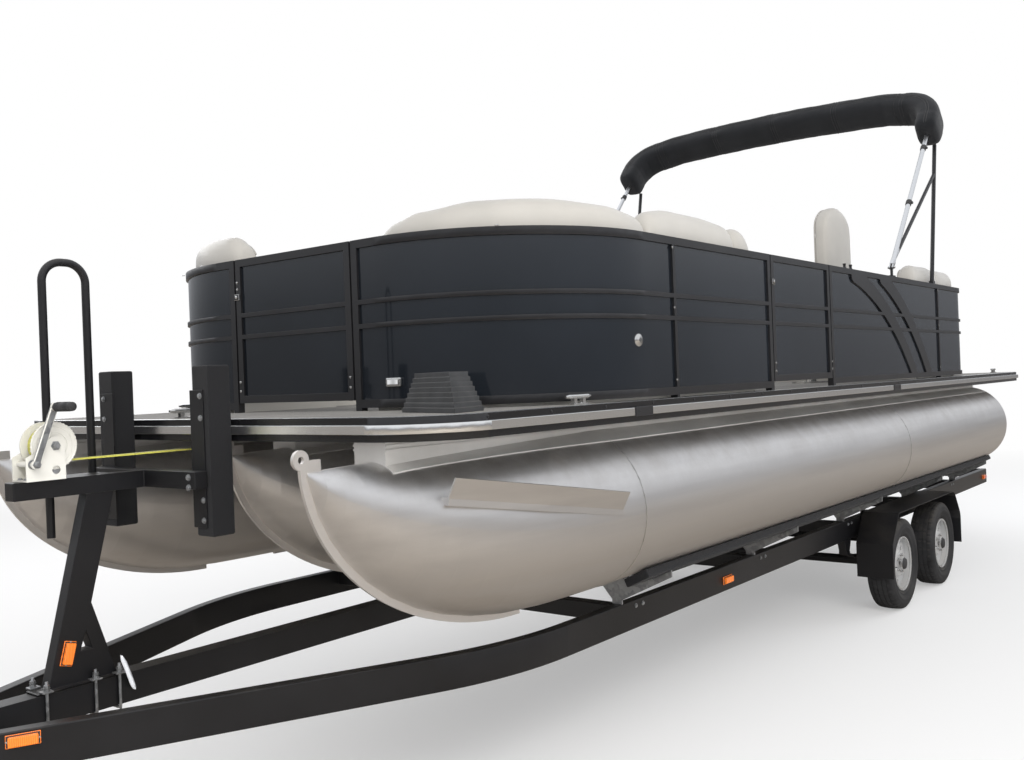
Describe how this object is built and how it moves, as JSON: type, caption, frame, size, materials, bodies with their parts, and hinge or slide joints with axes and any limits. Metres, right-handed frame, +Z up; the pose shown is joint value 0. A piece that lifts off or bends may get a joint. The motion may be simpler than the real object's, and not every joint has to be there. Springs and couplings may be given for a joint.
{
  "type": "pontoon boat on trailer",
  "caption": "Flat-decked pleasure boat on aluminium tube floats with fenced lounge seating, folded sun arch and tilting outboard, parked on its own tandem-axle trailer and jack.",
  "frame": {"origin": "ground level under the middle of the parked boat and trailer, on the centre line", "axes": "+X towards the bow and the trailer's coupler, +Y to port, +Z up"},
  "size_m": [10.0999, 2.656, 3.7009],
  "materials": {
    "deck_floor": "woven vinyl",
    "bright_rail": "bright anodised",
    "mill_aluminium": "mill",
    "tube_aluminium": "brushed",
    "black_frame": "satin powder coat",
    "slate_panel": "gloss",
    "pale_moulding": "moulded",
    "greige_vinyl": "stitched marine vinyl",
    "smoke_glass": "smoked",
    "black_grip": "moulded grip",
    "silver_arm": "satin anodised",
    "dark_canvas": "woven acrylic",
    "motor_black": "gloss",
    "bright_steel": "polished stainless",
    "trailer_black": "satin paint",
    "galvanised": "hot-dip zinc",
    "bunk_carpet": "carpet over timber",
    "cream_winch": "satin paint",
    "strap_webbing": "webbing",
    "chock_rubber": "moulded ribs",
    "tyre_rubber": "moulded",
    "white_wheel": "gloss"
  },
  "bodies": {
    "root": {"axles": "trailer_black", "bimini_mounts": "black_frame", "boarding_rail": "trailer_black", "bow_stop_brackets": "trailer_black", "bow_stops": "bunk_carpet", "bunk_brackets": "galvanised", "bunks": "bunk_carpet", "chair_posts": "bright_rail", "cleats": "bright_steel", "corner_chock": "chock_rubber", "deck": "deck_floor", "deck_beams": "mill_aluminium", "deck_rail": "bright_rail", "fence_panels": "slate_panel", "fence_port_frame": "black_frame", "fence_starboard_frame": "black_frame", "fence_stern_frame": "black_frame", "fenders": "trailer_black", "helm_console": "pale_moulding", "helm_windscreen": "smoke_glass", "jack_tube": "galvanised", "lounge_backs": "greige_vinyl", "lounge_bases": "pale_moulding", "lounge_seats": "greige_vinyl", "motor_clamp": "motor_black", "motor_pod": "mill_aluminium", "pontoon_centre": "tube_aluminium", "pontoon_port": "tube_aluminium", "pontoon_starboard": "tube_aluminium", "risers": "mill_aluminium", "trailer_crossmembers": "trailer_black", "trailer_rails": "trailer_black", "trailer_tongue": "trailer_black", "winch": "cream_winch", "winch_stand": "trailer_black", "winch_strap": "strap_webbing"},
    "bow_gate": {"bow_gate_frame": "black_frame", "bow_gate_panel": "slate_panel"},
    "side_gate": {"side_gate_frame": "black_frame", "side_gate_panel": "slate_panel"},
    "stern_gate": {"stern_gate_frame": "black_frame", "stern_gate_panel": "slate_panel"},
    "steering_wheel": {"steering_wheel": "black_grip"},
    "helm_chair": {"helm_chair": "greige_vinyl"},
    "mate_chair": {"mate_chair": "greige_vinyl"},
    "bimini": {"bimini_arms": "silver_arm", "bimini_boot": "dark_canvas"},
    "motor_swivel": {"motor_swivel": "motor_black"},
    "motor": {"motor_leg": "motor_black", "motor_cowl": "motor_black"},
    "propeller": {"propeller": "bright_steel"},
    "jack_leg": {"jack_leg": "galvanised"},
    "wheel_front_port": {"tyre_front_port": "tyre_rubber", "rim_front_port": "white_wheel"},
    "wheel_front_starboard": {"tyre_front_starboard": "tyre_rubber", "rim_front_starboard": "white_wheel"},
    "wheel_rear_port": {"tyre_rear_port": "tyre_rubber", "rim_rear_port": "white_wheel"},
    "wheel_rear_starboard": {"tyre_rear_starboard": "tyre_rubber", "rim_rear_starboard": "white_wheel"}
  },
  "joints": [
    {"name": "bow_gate_swing", "type": "hinge", "parent": "root", "child": "bow_gate", "pos_m": [2.718, 0.367, 1.526], "axis": [0, 0, 1], "range_deg": [-90, 0]},
    {"name": "side_gate_swing", "type": "hinge", "parent": "root", "child": "side_gate", "pos_m": [0.014, 1.208, 1.526], "axis": [0, 0, 1], "range_deg": [-90, 0]},
    {"name": "stern_gate_swing", "type": "hinge", "parent": "root", "child": "stern_gate", "pos_m": [-2.938, -0.875, 1.526], "axis": [0, 0, 1], "range_deg": [-90, 0]},
    {"name": "steering_turn", "type": "hinge", "parent": "root", "child": "steering_wheel", "pos_m": [-0.9448, -0.825, 2.379], "axis": [-0.848, 0, 0.53], "range_deg": [-540, 540]},
    {"name": "helm_chair_swivel", "type": "hinge", "parent": "root", "child": "helm_chair", "pos_m": [-1.63, -0.8, 1.526], "axis": [0, 0, 1], "continuous": true},
    {"name": "mate_chair_swivel", "type": "hinge", "parent": "root", "child": "mate_chair", "pos_m": [-1.26, 0.62, 1.526], "axis": [0, 0, 1], "continuous": true},
    {"name": "bimini_fold", "type": "hinge", "parent": "root", "child": "bimini", "pos_m": [-1.12, 0, 2.254], "axis": [0, 1, 0], "range_deg": [0, 60]},
    {"name": "motor_tilt", "type": "hinge", "parent": "root", "child": "motor_swivel", "pos_m": [-4.55, 0, 1.616], "axis": [0, 1, 0], "range_deg": [0, 65]},
    {"name": "motor_steer", "type": "hinge", "parent": "motor_swivel", "child": "motor", "pos_m": [-4.64, 0, 1.616], "axis": [0, 0, 1], "range_deg": [-30, 30]},
    {"name": "propeller_spin", "type": "hinge", "parent": "motor", "child": "propeller", "pos_m": [-4.94, 0, 0.858], "axis": [1, 0, 0], "continuous": true},
    {"name": "jack_slide", "type": "slide", "parent": "root", "child": "jack_leg", "axis": [0, 0, 1], "range_m": [0, 0.3]},
    {"name": "wheel_front_port_spin", "type": "hinge", "parent": "root", "child": "wheel_front_port", "pos_m": [-1.384, 1.086, 0.302], "axis": [0, 1, 0], "continuous": true},
    {"name": "wheel_front_starboard_spin", "type": "hinge", "parent": "root", "child": "wheel_front_starboard", "pos_m": [-1.384, -1.086, 0.302], "axis": [0, 1, 0], "continuous": true},
    {"name": "wheel_rear_port_spin", "type": "hinge", "parent": "root", "child": "wheel_rear_port", "pos_m": [-2.292, 1.086, 0.302], "axis": [0, 1, 0], "continuous": true},
    {"name": "wheel_rear_starboard_spin", "type": "hinge", "parent": "root", "child": "wheel_rear_starboard", "pos_m": [-2.292, -1.086, 0.302], "axis": [0, 1, 0], "continuous": true}
  ]
}
